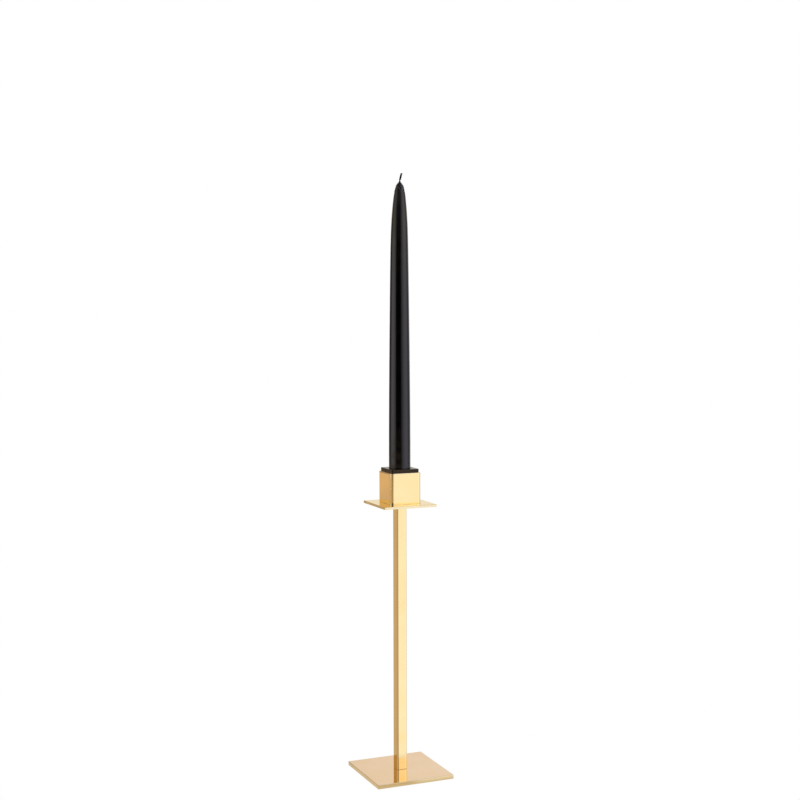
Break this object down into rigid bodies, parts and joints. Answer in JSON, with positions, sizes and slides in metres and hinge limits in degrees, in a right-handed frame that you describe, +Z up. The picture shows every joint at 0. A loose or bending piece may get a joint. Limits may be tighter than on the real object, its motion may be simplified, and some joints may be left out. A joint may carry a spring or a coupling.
{
  "type": "candlestick",
  "caption": "Tall square brass candlestick: base plate, slim square post, square drip plate and cube socket, with a black insert gripping a black taper candle.",
  "frame": {"origin": "centre of the underside of the base, on the surface it stands on", "axes": "+Z up along the post and candle, -Y is the front face of the socket, and the wick leans towards +X"},
  "size_m": [0.08, 0.08, 0.5925],
  "materials": {
    "polished_brass": "polished",
    "zinc_steel": "satin",
    "black_moulding": "satin",
    "black_wax": "satin",
    "black_wick": "matte",
    "black_felt": "matte"
  },
  "bodies": {
    "stand": {"base_felt": "black_felt", "base_plate": "polished_brass", "base_screw": "zinc_steel", "post": "polished_brass", "drip_plate": "polished_brass", "socket_sleeve": "polished_brass", "socket_floor": "polished_brass", "spring_washer": "zinc_steel", "socket_screw": "zinc_steel"},
    "insert": {"candle_insert": "black_moulding"},
    "candle": {"candle": "black_wax", "wick": "black_wick"}
  },
  "joints": [
    {"name": "insert_lift", "type": "slide", "parent": "stand", "child": "insert", "axis": [0, 0, 1], "range_m": [0, 0.04]},
    {"name": "candle_lift", "type": "slide", "parent": "insert", "child": "candle", "axis": [0, 0, 1], "range_m": [0, 0.06]}
  ]
}
